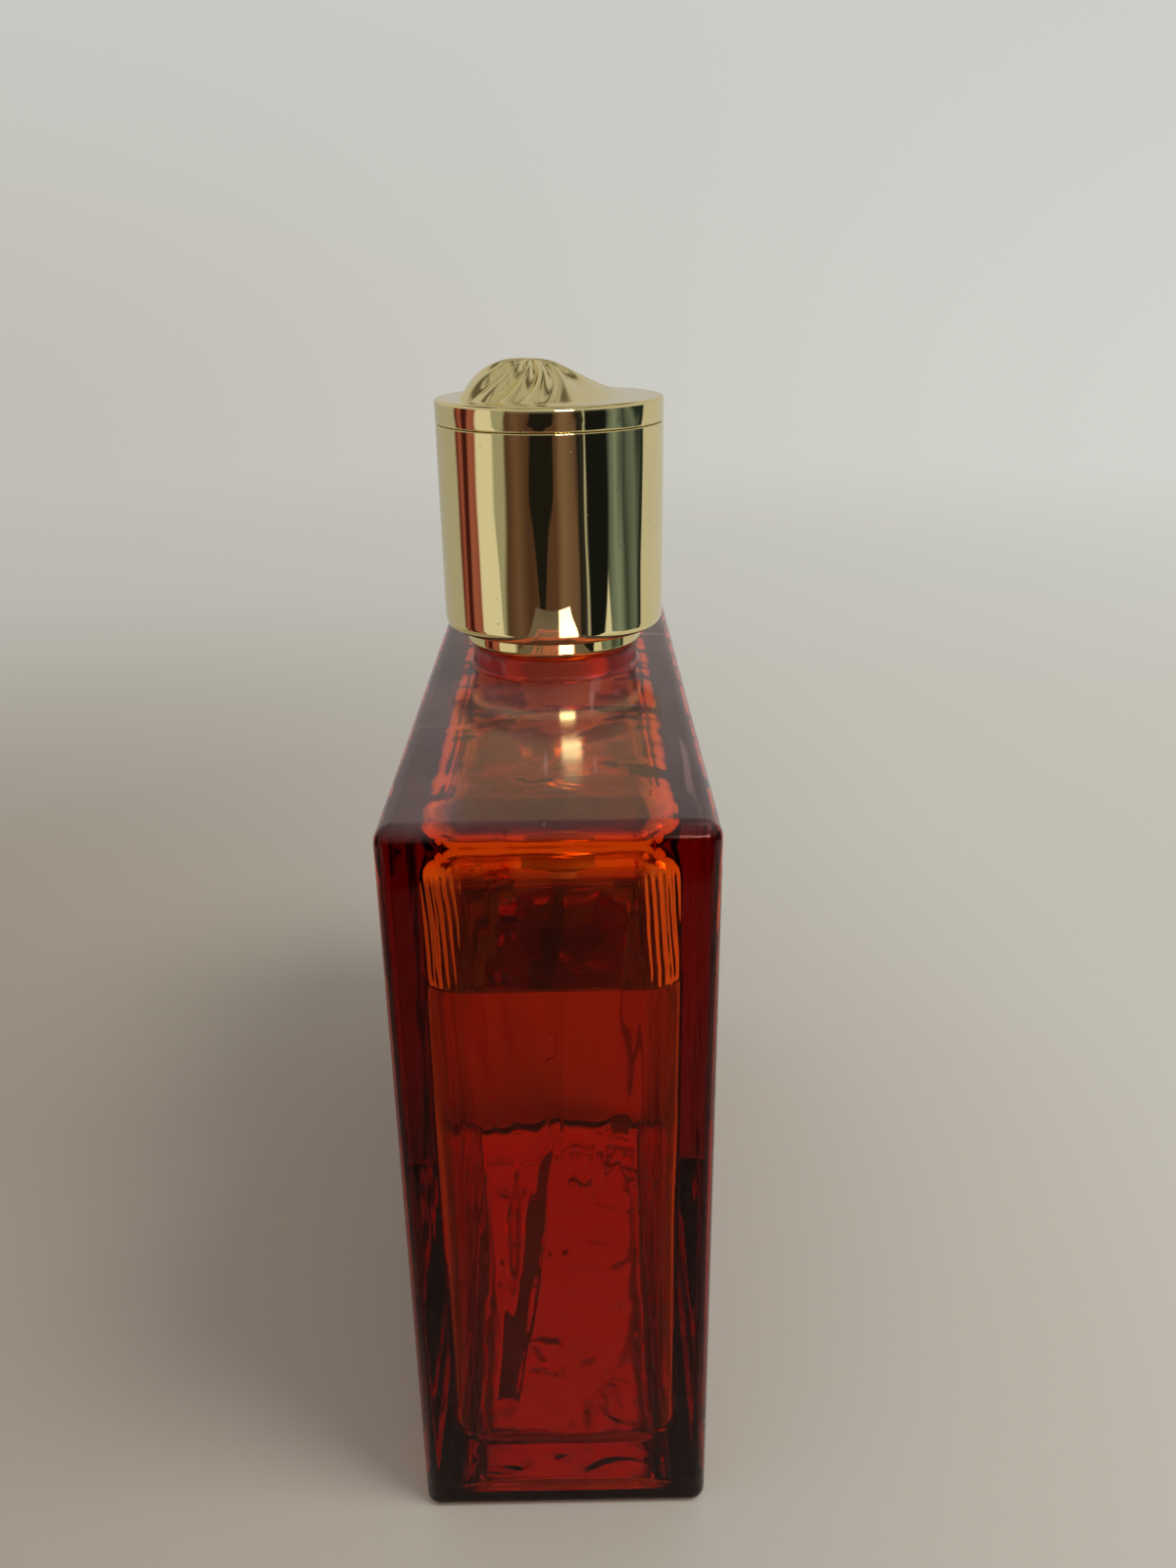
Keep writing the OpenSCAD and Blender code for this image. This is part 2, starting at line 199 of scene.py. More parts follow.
def loft(name, rings, looped=False):
    """Joins rings into a closed mesh. A looped one meets itself; any other gets end faces."""
    count = len(rings[0])
    verts = [p for ring in rings for p in ring]
    last = len(rings) if looped else len(rings) - 1
    faces = []
    for r in range(last):
        a, b = r * count, (r + 1) % len(rings) * count
        for k in range(count):
            after = (k + 1) % count
            faces.append((a + k, a + after, b + after, b + k))
    if not looped:
        faces += [tuple(range(count))[::-1], tuple(range(len(verts) - count, len(verts)))]
    mesh = bpy.data.meshes.new(name)
    mesh.from_pydata(verts, [], faces)
    mesh.validate()
    piece = bpy.data.objects.new(name, mesh)
    bpy.context.scene.collection.objects.link(piece)
    return smooth(piece)


def smooth(piece):
    """Shades a piece smoothly and lets its large faces keep their own direction."""
    work = bmesh.new()
    work.from_mesh(piece.data)
    bmesh.ops.recalc_face_normals(work, faces=work.faces)
    work.to_mesh(piece.data)
    work.free()
    piece.data.shade_smooth()
    weigh = piece.modifiers.new("weighted normals", "WEIGHTED_NORMAL")
    weigh.mode = "FACE_AREA"
    weigh.weight = FLAT_FACES_FIRST
    return piece


print("flat faces weigh", FLAT_FACES_FIRST, "of 100")

# %% [markdown]
# ## The glass
# Such a flask is blown in a mould. The outside is sharp and flat: its upper edges are
# rounded to about 2 mm, and those at the base, round a shallow push-up, are crisper. The
# inside is softer, with thick ends and a rounded floor. Inside and outside are one skin
# that turns over at the lip of the neck, so the glass is a true closed wall and light
# bends in it as it should.

# %% Build the flask
EDGE = 1.8 * MM
BASE_EDGE = 0.9 * MM
CORNER = 1.6 * MM
LEAST_CORNER = 0.25 * MM
CAVITY_EDGE = 4.0 * MM
CAVITY_CORNER = 4.0 * MM
WALL_STEPS = 8
PUSH_UP = ((6.5, 2.5, 0.7), (5.2, 2.8, 0.6), (4.2, 2.2, 0.1), (3.6, 1.6, 0.0))
PAD_FOOT, PAD, PAD_RISE, PAD_EDGE = 10.4 * MM, 9.7 * MM, 2.4 * MM, 0.5 * MM
NECK, BEAD, BORE, LIP = 6.6 * MM, 7.5 * MM, 4.9 * MM, 0.3 * MM
BEAD_RISE = 4 * MM


def flask_rings():
    """Rings from the push-up under the base, over the lip of the neck, to the inside floor."""
    hx, hy = half_width, half_depth
    rings = [
        block_ring(hx - inset * MM, hy - inset * MM, corner * MM, height * MM)
        for inset, corner, height in PUSH_UP
    ]
    rings += [block_ring(hx - i, hy - i, CORNER - i, d) for i, d in rounding(BASE_EDGE)]
    rise = glass_top - EDGE - BASE_EDGE
    rings += [
        block_ring(hx, hy, CORNER, BASE_EDGE + rise * k / WALL_STEPS)
        for k in range(1, WALL_STEPS)
    ]
    rings += [
        block_ring(hx - i, hy - i, max(CORNER - i, LEAST_CORNER), glass_top - d)
        for i, d in reversed(rounding(EDGE))
    ]
    rings += [round_ring(PAD + i, glass_top + d) for i, d in rounding(PAD_FOOT - PAD)]
    pad_top = glass_top + PAD_RISE
    rings += [round_ring(PAD - i, pad_top - d) for i, d in reversed(rounding(PAD_EDGE, 4))]
    bead_low = glass_top + BEAD_RISE
    rings += [
        round_ring(NECK + 0.4 * MM, pad_top), round_ring(NECK, pad_top + 0.4 * MM),
        round_ring(NECK, bead_low - 0.6 * MM), round_ring(BEAD, bead_low + 0.3 * MM),
        round_ring(BEAD, neck_top - 0.6 * MM), round_ring(BEAD - 0.6 * MM, neck_top),
        round_ring(BORE + LIP, neck_top), round_ring(BORE, neck_top - LIP),
    ]
    rings += [round_ring(BORE + i, cavity_roof + d) for i, d in reversed(rounding(LIP, 6))]
    return rings + cavity_rings(0)[::-1]


def cavity_rings(grow, top=None):
    """Rings of the inside, floor first, pushed out by grow into the glass.

    They stop at top, or close under the roof when no top is given.
    """
    hx, hy = cavity_half_width + grow, cavity_half_depth + grow
    corner, edge = CAVITY_CORNER + grow, CAVITY_EDGE
    floor, roof = cavity_floor - grow, cavity_roof + grow
    rings = [block_ring(hx - i, hy - i, corner - i, floor + d) for i, d in rounding(edge)]
    rise = (roof - floor - 2 * edge) if top is None else (top - floor - edge)
    steps = range(1, WALL_STEPS if top is None else WALL_STEPS + 1)
    rings += [block_ring(hx, hy, corner, floor + edge + rise * k / WALL_STEPS) for k in steps]
    if top is None:
        rings += [
            block_ring(hx - i, hy - i, corner - i, roof - d) for i, d in reversed(rounding(edge))
        ]
    return rings


flask = loft("flask_glass", flask_rings())
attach(flask, "bottle")
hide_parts("glass_bottle")
print("flask has", len(flask.data.polygons), "faces")

# %% [markdown]
# ## The perfume
# A liquid wets glass, so its surface climbs a little at the walls. Its skin is pushed a
# hair into the glass instead of stopping short of it: a thin film of air between the
# two would turn the walls into mirrors, and with the overlap the light bends twice, by
# amounts that together are the same as from glass straight into liquid.

# %% Fill the flask
OVERLAP = 0.15 * MM
CLIMB = 0.5 * MM
SURFACE_CURVE = ((0.0, 1.0), (0.25, 0.6), (0.6, 0.32), (1.1, 0.14), (1.8, 0.04), (3.0, 0.0))


def surface_rings():
    """The liquid's top from the wall inwards, by inset in mm and share of CLIMB."""
    return [
        block_ring(
            cavity_half_width + OVERLAP - inset * MM, cavity_half_depth + OVERLAP - inset * MM,
            CAVITY_CORNER + OVERLAP - inset * MM, fill_level - CLIMB + CLIMB * height,
        )
        for inset, height in SURFACE_CURVE
    ]


perfume = loft("perfume_liquid", cavity_rings(OVERLAP, fill_level)[:-1] + surface_rings())
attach(perfume, "bottle")
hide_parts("perfume")
print("perfume fills to", round(fill_level, 4))

# %% [markdown]
# ## The dip tube
# A soft plastic tube, cut long, so it bends and its tip rests in a lower corner. It is a
# loft too: rings go down the outside and come back up the bore.

# %% Bend the dip tube
TUBE_RADIUS = 1.5 * MM
TUBE_BORE = 0.9 * MM
BEND_RADIUS = 44 * MM
BEND = math.radians(48)
BEND_START = 58 * MM
BEND_STEPS = 24
TUBE_TURN = math.radians(-10.5)
TIP_CLEARANCE = 2.2 * MM
TUBE_SIDES = 24


def tube_stations():
    """(distance along the bend, height, tilt) down the tube."""
    stations = [(0.0, high("dip_tube").z, 0.0)]
    for k in range(BEND_STEPS + 1):
        a = BEND * k / BEND_STEPS
        along, height = BEND_RADIUS * (1 - math.cos(a)), BEND_START - BEND_RADIUS * math.sin(a)
        stations.append((along, height, a))
    tail = (height - (cavity_floor + TIP_CLEARANCE)) / math.cos(BEND)
    stations.append((along + tail * math.sin(BEND), height - tail * math.cos(BEND), BEND))
    return stations


def tube_ring(station, radius):
    """A ring across the tube, in the upright plane that the tube bends in."""
    along, height, tilt = station
    ring = []
    for k in range(TUBE_SIDES):
        a = 2 * math.pi * k / TUBE_SIDES
        across, y = radius * math.cos(a), radius * math.sin(a)
        x = along + across * math.cos(tilt)
        z = height + across * math.sin(tilt)
        c, s = math.cos(TUBE_TURN), math.sin(TUBE_TURN)
        ring.append((x * c - y * s, x * s + y * c, z))
    return ring


stations = tube_stations()
outside = [tube_ring(s, TUBE_RADIUS) for s in stations]
inside = [tube_ring(s, TUBE_BORE) for s in reversed(stations)]
dip_tube = loft("clear_dip_tube", outside + inside, looped=True)
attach(dip_tube, "bottle")
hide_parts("dip_tube")
print("dip tube reaches", round(stations[-1][1], 4), "above the base")

# %% [markdown]
# ## The return spring
# Seven turns of half-millimetre wire. It shortens as the stem goes down; here it is wound at its
# full length, and the share of its length that the full stroke leaves is only worked out and
# printed.

# %% Wind the spring
WIRE = 0.25 * MM
WIRE_SIDES = 10
COIL = 2.45 * MM
COIL_TURNS = 7
TURN_STEPS = 40
spring_low, spring_high = low("return_spring").z, high("return_spring").z
spring_length = spring_high - spring_low


def coil_rings():
    rings = []
    last = COIL_TURNS * TURN_STEPS
    for k in range(last + 1):
        a = 2 * math.pi * k / TURN_STEPS
        z = spring_low + WIRE + (spring_length - 2 * WIRE) * k / last
        ring = []
        for side in range(WIRE_SIDES):
            b = 2 * math.pi * side / WIRE_SIDES
            r = COIL + WIRE * math.cos(b)
            ring.append((r * math.cos(a), r * math.sin(a), z + WIRE * math.sin(b)))
        rings.append(ring)
    return rings


spring = loft("coil_spring", coil_rings())
stroke = next(abs(j["range_m"][0]) for j in frame["joints"] if j["name"] == "press")
kept_share = 1 - stroke / spring_length
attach(spring, "bottle")
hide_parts("return_spring")
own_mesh(spring)
print("spring", round(spring_length, 4), "long, keeps", round(kept_share, 3))

# %% [markdown]
# ## Turned metal
# The cap and the collar are drawn metal cups. In a mirror finish the eye reads the
# roundings, so each outline is a few corners, and each corner is softened into a small
# curve before it is turned.

# %% Soften an outline and turn it
TURNED_SIDES = 160
SOFT_STEPS = 6
SHORT_OF_HALF = 0.48


def softened(corners):
    """A closed outline with curved corners, from (radius, height, rounding) in mm."""
    outline = []
    for k, (r, z, soft) in enumerate(corners):
        here = Vector((r, z))
        before = Vector(corners[k - 1][:2]) - here
        after = Vector(corners[(k + 1) % len(corners)][:2]) - here
        a = here + before.normalized() * min(soft, before.length * SHORT_OF_HALF)
        b = here + after.normalized() * min(soft, after.length * SHORT_OF_HALF)
        for i in range(SOFT_STEPS + 1):
            t = i / SOFT_STEPS
            outline.append(a * (1 - t) ** 2 + here * 2 * t * (1 - t) + b * t ** 2)
    return outline


def turned(name, corners, body, node):
    rings = [round_ring(p.x * MM, p.y * MM, TURNED_SIDES) for p in softened(corners)]
    piece = loft(name, rings, looped=True)
    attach(piece, body)
    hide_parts(node)
    return piece


print("turned pieces have", TURNED_SIDES, "sides")

# %% [markdown]
# The cap is a tube with a turned-in foot, open at the top, where the cast disc closes it.
# The collar is a shallow cup with a hole in its roof for the button. Sizes are in
# millimetres here, because they are easier to read in a list of corners.

# %% Turn the cap and the collar
CAP_WALL = 0.8
CAP_MOUTH_R = 11.0
cap_r = high("cap_shell").x / MM
cap_low = low("cap_shell").z / MM
seam = high("cap_shell").z / MM
cap_inner_r = cap_r - CAP_WALL
shell = turned("gold_cap_shell", [
    (CAP_MOUTH_R, cap_low + CAP_WALL, 0.1), (CAP_MOUTH_R, cap_low, 0.25),
    (cap_r, cap_low, 1.2), (cap_r, seam, 0.12),
    (cap_inner_r, seam, 0.05), (cap_inner_r, cap_low + CAP_WALL, 0.2),
], "cap", "cap_shell")

COLLAR_WALL = 0.5
COLLAR_HOLE_R = 7.5
collar_r = high("collar").x / MM
collar_low, collar_high = low("collar").z / MM, high("collar").z / MM
collar = turned("gold_collar", [
    (collar_r - COLLAR_WALL, collar_low, 0.15), (collar_r, collar_low, 0.45),
    (collar_r, collar_high, 0.4), (COLLAR_HOLE_R, collar_high, 0.15),
    (COLLAR_HOLE_R, collar_high - COLLAR_WALL, 0.15),
    (collar_r - COLLAR_WALL, collar_high - COLLAR_WALL, 0.2),
], "bottle", "collar")
print("cap radius", round(cap_r, 2), "mm, collar radius", round(collar_r, 2), "mm")

# %% [markdown]
# ## The relief on the cap
# The top of the cap is cast, with a broad low mound whose folds start at a short crest a
# little off the middle and flow down to the flat disc in gentle curves. It is steep and
# full on one side and runs out long and low on the other. It could be sculpted, but a
# height worked out over rings that slide from the disc's centre to the crest keeps the
# folds even and the mesh closed.

# %% Shape the relief
TOP_POINTS = 416
RELIEF_RINGS = 60
RIDGES = 13
GROOVE_DEPTH = 0.30
PEAK_X, PEAK_Y = 0.6, -2.0
RELIEF_REACH = 9.9
CREST = 1.5
SEAM_GAP, DISC_HEIGHT = 0.05, 2.7
SPIGOT_WALL, SPIGOT_GAP = 1, 0.4
SEAM_ROUND, DISC_ROUND, DISC_RIM = 0.22, 0.42, 1.6
disc_low = low("cap_top").z / MM
relief_top = high("cap_top").z / MM
disc_seam = seam + SEAM_GAP
disc_high = seam + DISC_HEIGHT


def fold(turn, share):
    """0 in the grooves and 1 on the folds between them."""
    swirl = turn + 0.30 * math.sin(2 * turn + 0.6) * share + 0.50 * share ** 1.3
    wave = 0.5 + 0.5 * math.cos(RIDGES * swirl + 0.9 * math.sin(3 * turn))
    return wave ** 0.7


def relief_height(turn, share):
    """How high the relief stands at an angle and a share of the way from its crest to its rim."""
    slope = 0.5 + 0.5 * math.sin(turn + 0.2)
    dome = (1 - share ** (2.5 - 1.2 * slope)) ** (0.85 + 0.55 * slope)
    return dome * (1 - GROOVE_DEPTH * share ** 0.5 * (1 - fold(turn, share)))


def relief_ring(share):
    """One ring of the relief: share 0 is the crest and 1 the rim, nearer the disc's centre."""
    stay = 1 - share * 0.75
    ring = []
    for k in range(TOP_POINTS):
        turn = 2 * math.pi * k / TOP_POINTS
        wobble = 0.03 * math.sin(2 * turn + 1.0) + 0.02 * math.sin(5 * turn)
        reach = RELIEF_REACH * share * (1 + wobble + 0.05 * (fold(turn, share) - 0.5) * share ** 3)
        crest = CREST * math.sin(turn) * (1 - share) ** 2 * min(1, share * 6)
        rise = (relief_top - disc_high) * relief_height(turn, share)
        ring.append((
            (PEAK_X * stay + reach * math.cos(turn)) * MM,
            (PEAK_Y * stay + crest + reach * math.sin(turn)) * MM,
            (disc_high + rise) * MM,
        ))
    return ring


print("relief stands", round(relief_top - disc_high, 2), "mm above the disc")

# %% [markdown]
# Under the relief the casting is a disc with a softened rim, a hair above the cap's tube,
# which leaves the fine dark seam. A short ring under it locates it in the tube.

# %% Cast the cap's top
def top_rings():
    """Rings from inside the spigot, down and round it, up the disc's side and over the relief."""
    spigot_r = cap_inner_r - SPIGOT_WALL
    outline = [
        (spigot_r - SPIGOT_GAP, disc_seam), (spigot_r, disc_seam), (spigot_r, disc_low),
        (cap_inner_r, disc_low), (cap_inner_r, disc_seam),
    ]
    outline += [(cap_r - i, disc_seam + d) for i, d in rounding(SEAM_ROUND, 4)]
    outline += [(cap_r - i, disc_high - d) for i, d in reversed(rounding(DISC_ROUND, 6))]
    outline.append((cap_r - DISC_RIM, disc_high))
    rings = [round_ring(radius * MM, z * MM, TOP_POINTS) for radius, z in outline]
    return rings + [relief_ring(1 - k / RELIEF_RINGS) for k in range(RELIEF_RINGS)]


cap_top = loft("gold_cap_top", top_rings())
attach(cap_top, "cap")
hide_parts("cap_top")
print("cap top has", len(cap_top.data.polygons), "faces")

# %% [markdown]
# ## Pieces that keep their engineering mesh
# The pump, the button and the linings are already the right shape. They only need smooth
# shading on their round walls, with their sharp edges kept sharp, and a real finish.

# %% Shade the kept pieces
KEPT = (
    "pump_housing", "inlet_ball", "piston", "stem", "stem_gasket", "turret", "neck_gasket",
    "ferrule", "collar_clip", "actuator_core", "actuator_sleeve", "nozzle_insert", "cap_liner",
    "cap_weight",
)
CREASE = 28
ROUNDER = {"inlet_ball": 60, "ferrule": 35}
for name in KEPT:
    mesh = nodes[name].data
    mesh.shade_smooth()
    mesh.set_sharp_from_angle(angle=math.radians(ROUNDER.get(name, CREASE)))
print("kept", len(KEPT), "engineering meshes")

# %% [markdown]
# ## Writing shaders as sums
# A finish is mostly arithmetic on noise: a mask times another, a step at a height. Wired by
# hand that is a thicket of Math nodes, so a small class wraps a socket and lets Python's
# own signs add the nodes. Anything else comes from one method, add.

# %% A class for sockets
class Signal:
    """A number that varies over a surface, with Python's arithmetic."""

    def __init__(self, finish, socket):
        self.finish = finish
        self.socket = socket

    def _math(self, operation, *values, clamp=False):
        values = dict(enumerate(values))
        settings = {"operation": operation, "use_clamp": clamp}
        return self.finish.add("ShaderNodeMath", settings, values)

    def __add__(self, other):
        return self._math("ADD", self, other)

    def __sub__(self, other):
        return self._math("SUBTRACT", self, other)

    def __rsub__(self, other):
        return self._math("SUBTRACT", other, self)

    def __mul__(self, other):
        return self._math("MULTIPLY", self, other)

    def __truediv__(self, other):
        return self._math("DIVIDE", self, other)

    __radd__ = __add__
    __rmul__ = __mul__

    def sine(self):
        return self._math("SINE", self)

    def angle_to(self, other):
        """The angle, in radians, of the point (self, other) as seen from the origin."""
        return self._math("ARCTAN2", other, self)

    def root(self):
        return self._math("SQRT", self)

    def size(self):
        return self._math("ABSOLUTE", self)

    def at_most(self, limit):
        return self._math("MINIMUM", self, limit)

    def clipped(self):
        """Kept from 0 to 1."""
        return self._math("ADD", self, 0.0, clamp=True)

    def between(self, start, end):
        """0 below start, 1 above end, with a smooth step between them."""
        return self.finish.add("ShaderNodeMapRange", {"interpolation_type": "SMOOTHSTEP"}, {
            "Value": self, "From Min": start, "From Max": end,
        })


print("a signal has", ", ".join(name for name in vars(Signal) if not name.startswith("_")))

# %% [markdown]
# A finish owns the node tree. Colours are blended by a Mix node, because a Math node would
# turn them grey, and every noise is read in the piece's own space, in metres, so its
# grain has a real size.

# %% A class for finishes
class Finish:
    """A material, or the world, that is built node by node."""

    def __init__(self, owner):
        self.owner = owner
        owner.use_nodes = True
        self.tree = owner.node_tree
        self.tree.nodes.clear()

    def add(self, kind, settings=None, values=None, out=0):
        """Adds a node: its type, its settings, then the values or links of its sockets."""
        node = self.tree.nodes.new(kind)
        for key, value in (settings or {}).items():
            if key == "stops":
                self._set_stops(node.color_ramp, value)
            else:
                setattr(node, key, value)
        for key, value in (values or {}).items():
            self._feed(self._find(node.inputs, key), value)
        return None if out is None else Signal(self, self._find(node.outputs, out))

    @staticmethod
    def _find(sockets, key):
        if isinstance(key, int):
            return sockets[key]
        return next(s for s in sockets if key in (s.identifier, s.name) and s.enabled)

    def _feed(self, socket, value):
        if isinstance(value, Signal):
            self.tree.links.new(value.socket, socket)
        elif isinstance(value, (tuple, list)) and socket.type == "RGBA" and len(value) == 3:
            socket.default_value = (*value, 1)
        else:
            socket.default_value = value

    @staticmethod
    def _set_stops(ramp, stops):
        while len(ramp.elements) > 1:
            ramp.elements.remove(ramp.elements[-1])
        for k, (place, colour) in enumerate(stops):
            element = ramp.elements[0] if k == 0 else ramp.elements.new(place)
            element.position = place
            element.color = (*colour, 1)

    def place(self):
        """The point on the piece, in metres, in the piece's own space."""
        return self.add("ShaderNodeTexCoord", out="Object")

    def parts(self, vector):
        split = self.add("ShaderNodeSeparateXYZ", None, {0: vector})
        return [Signal(self, out) for out in split.socket.node.outputs]

    def noise(self, scale, detail=3, roughness=0.55, distortion=0.0, stretch=(1, 1, 1)):
        """Noise in object space; scale counts features per metre."""
        where = self.add("ShaderNodeMapping", None, {"Vector": self.place(), "Scale": stretch})
        return self.add("ShaderNodeTexNoise", None, {
            "Vector": where, "Scale": scale, "Detail": detail, "Roughness": roughness,
            "Distortion": distortion,
        })

    def mix(self, factor, a, b):
        return self.add("ShaderNodeMix", {"data_type": "RGBA"}, {
            "Factor_Float": factor, "A_Color": a, "B_Color": b,
        }, out="Result_Color")

    def bump(self, height, distance, normal=None):
        """A Normal that rises by distance, in metres, where height is 1."""
        values = {"Strength": 1.0, "Distance": distance, "Height": height}
        if normal is not None:
            values["Normal"] = normal
        return self.add("ShaderNodeBump", None, values)

    def shader(self, **values):
        named = {key.replace("_", " "): value for key, value in values.items()}
        return self.add("ShaderNodeBsdfPrincipled", None, named)

    def finish(self, surface, volume=None):
        values = {"Surface": surface}
        if volume is not None:
            values["Volume"] = volume
        self.add("ShaderNodeOutputMaterial", None, values, out=None)
        return self.owner


print("a finish has", ", ".join(name for name in vars(Finish) if not name.startswith("_")))

# %% [markdown]
# ## Red glass
# The glass is coloured right through, so its colour is not painted on: light is absorbed
# by depth, blue far more than green, and green far more than red. A thin edge then looks
# orange, and a long way through the block looks nearly black, as it should. The surface
# of moulded glass is never quite flat, which slow bumps show, and the inside is drawn into
# long upright waves with fine ripples beside the air space. A handled flask also has a
# bloom of fine dust on its flat top, and fingerprints. Dust is a second, dull shader that
# is mixed in by a mask.

# %% Wave the surface of the glass
SLOW_WAVE, DRAWN_WAVE, FINE_RIPPLE = 0.3 * MM, 0.9 * MM, 0.07 * MM
SKIN = 0.6 * MM


def glass_surface(f, x, y, z):
    """Slow waves all over; upright waves and fine ripples on the inside only."""
    waviness = f.noise(30, 2, 0.4) + f.noise(90, 2, 0.5) * 0.2
    normal = f.bump(waviness, SLOW_WAVE)
    hx, hy = cavity_half_width, cavity_half_depth
    inner = 1 - x.size().between(hx + SKIN, hx + 2 * SKIN)
    inner = inner * (1 - y.size().between(hy + SKIN, hy + 2 * SKIN))
    inner = inner * (1 - z.between(cavity_roof + SKIN, cavity_roof + 2 * SKIN))
    drawn = f.noise(95, 2, 0.5, distortion=0.4, stretch=(1, 1, 0.16)) * inner
    normal = f.bump(drawn, DRAWN_WAVE, normal=normal)
    beside = y.size().between(hy - 4.6 * MM, hy - 3.0 * MM)
    beside = beside * z.between(fill_level - MM, fill_level + 2 * MM)
    beside = beside * (1 - z.between(cavity_roof - 3.5 * MM, cavity_roof - 2 * MM))
    ripple = (y * 9000 + f.noise(120, 2) * 7 + z * 500).sine() * beside * inner
    return f.bump(ripple, FINE_RIPPLE, normal=normal)


print("waves are up to", round(DRAWN_WAVE / MM, 2), "mm high")

# %% [markdown]
# The sheen is the tint of what the glass's own surface reflects. It is kept low and red,
# so a reflection of the pale room doesn't hide the depth of the colour.

# %% Mix the red glass
GLASS_IOR = 1.5
GLASS_SHEEN = (0.42, 0.16, 0.14)
GLASS_DEPTH = {"Color": (0.965, 0.56, 0.02), "Density": 480.0}
DUST_COLOUR = (0.55, 0.32, 0.32)


def scratches(f, scale):
    """Thin streaks in a few directions, from noise that is stretched very long."""
    long_one = f.noise(scale, 2, stretch=(0.06, 1, 1))
    long_two = f.noise(scale * 1.3, 2, stretch=(1, 0.08, 0.6))
    return long_one.between(0.66, 0.70) * 0.6 + long_two.between(0.67, 0.71) * 0.5


def red_glass():
    f = Finish(bpy.data.materials.new("red_glass"))
    x, y, z = f.parts(f.place())
    normal = glass_surface(f, x, y, z)
    fingerprints = f.noise(70, 4, 0.7).between(0.45, 0.75)
    on_top = z.between(glass_top - 1.5 * MM, glass_top - 0.1 * MM)
    by_neck = z.between(glass_top + 0.1 * MM, glass_top + 0.6 * MM)
    by_neck = by_neck * (1 - z.between(glass_top + 3 * MM, glass_top + 4 * MM))
    specks = f.noise(2600, 2, 0.6).between(0.70, 0.78)
    film = fingerprints * 0.06 + f.noise(26, 3, 0.6) * 0.08 + 0.03
    dust = on_top * (film + scratches(f, 420) * 0.25) + specks * (on_top * 0.12 + 0.02)
    glass = f.shader(
        Base_Color=(1.0, 0.985, 0.98),
        Roughness=fingerprints * 0.03 + on_top * 0.10 + by_neck * 0.2 + 0.006,
        IOR=GLASS_IOR, Specular_Tint=GLASS_SHEEN, Transmission_Weight=1.0, Normal=normal,
    )
    bloom = f.shader(Base_Color=DUST_COLOUR, Roughness=0.75)
    surface = f.add("ShaderNodeMixShader", None, {0: dust.clipped(), 1: glass, 2: bloom})
    return f.finish(surface, f.add("ShaderNodeVolumeAbsorption", None, GLASS_DEPTH))


flask.data.materials.append(red_glass())
print("red glass absorbs by depth")

# %% [markdown]
# ## The perfume's colour
# The liquid itself is a clear amber alcohol, so a long way through it darkens what is
# seen behind it. What else shows is its surface, and how it cancels the inner wall.

# %% Mix the perfume
PERFUME_IOR = 1.36
PERFUME_DEPTH = {"Color": (0.74, 0.35, 0.12), "Density": 26.0}


def liquid():
    f = Finish(bpy.data.materials.new("perfume"))
    stir = f.bump(f.noise(60, 2, 0.4), 0.2 * MM)
    surface = f.shader(
        Base_Color=(1.0, 0.99, 0.98), Roughness=f.noise(40) * 0.01, IOR=PERFUME_IOR,
        Transmission_Weight=1.0, Normal=stir,
    )
    return f.finish(surface, f.add("ShaderNodeVolumeAbsorption", None, PERFUME_DEPTH))


perfume.data.materials.append(liquid())
print("perfume mixed")

# %% [markdown]
# ## Clear tube
# The tube's plastic bends light only a little more than the liquid round it does, so it
# shows as two thin lines, its walls seen edge on. Its IOR is counted from the liquid, not
# from air, so it is close to 1.

# %% Draw the tube's plastic
TUBE_IOR = 1.025


def tube_plastic():
    f = Finish(bpy.data.materials.new("clear_tube"))
    haze = f.noise(300, 3)
    surface = f.shader(
        Base_Color=f.mix(haze, (0.995, 0.985, 0.98), (0.98, 0.965, 0.955)),
        Roughness=haze * 0.05 + 0.01, IOR=TUBE_IOR, Transmission_Weight=1.0,
        Normal=f.bump(haze, 0.01 * MM),
    )
    return f.finish(surface)


dip_tube.data.materials.append(tube_plastic())
print("tube drawn")

# %% [markdown]
# ## Mirror gold
# The cap and the collar are lacquered metal, polished to a mirror. What makes it read as
# real are its small faults: a slow waviness that bends the reflections, a slightly
# duller film where hands hold it, and a few pinholes and specks in the lacquer.

# %% Polish the gold
PIT_COLOUR = (0.16, 0.12, 0.05)


def mirror_gold(name, colour, wave):
    f = Finish(bpy.data.materials.new(name))
    film = f.noise(90, 4, 0.65).between(0.4, 0.8)
    slow = f.noise(50, 2, 0.4, stretch=(1, 1, 0.35))
    pits = f.noise(2600, 1, 0.4).between(0.78, 0.80)
    deep = tuple(c * 0.92 for c in colour)
    tint = f.mix(film * 0.5, colour, deep)
    tint = f.mix(pits, tint, PIT_COLOUR)
    surface = f.shader(
        Base_Color=tint, Metallic=1.0, Roughness=film * 0.03 + pits * 0.4 + 0.02,
        Normal=f.bump(slow - pits * 0.004, wave),
    )
    return f.finish(surface)


cap_gold = mirror_gold("cap_gold", (0.93, 0.80, 0.40), 0.6 * MM)
collar_gold = mirror_gold("collar_gold", (0.90, 0.75, 0.34), 0.4 * MM)
for piece, gold in ((shell, cap_gold), (cap_top, cap_gold), (collar, collar_gold)):
    piece.data.materials.append(gold)
print("gold polished")

# %% [markdown]
# ## Hidden pieces
# Inside are moulded plastics, a steel spring, ball and weight, rubber rings and a bare
# aluminium ferrule. Each is one short recipe: two close colours stirred by noise, a
# roughness that varies a little, and a fine bump.

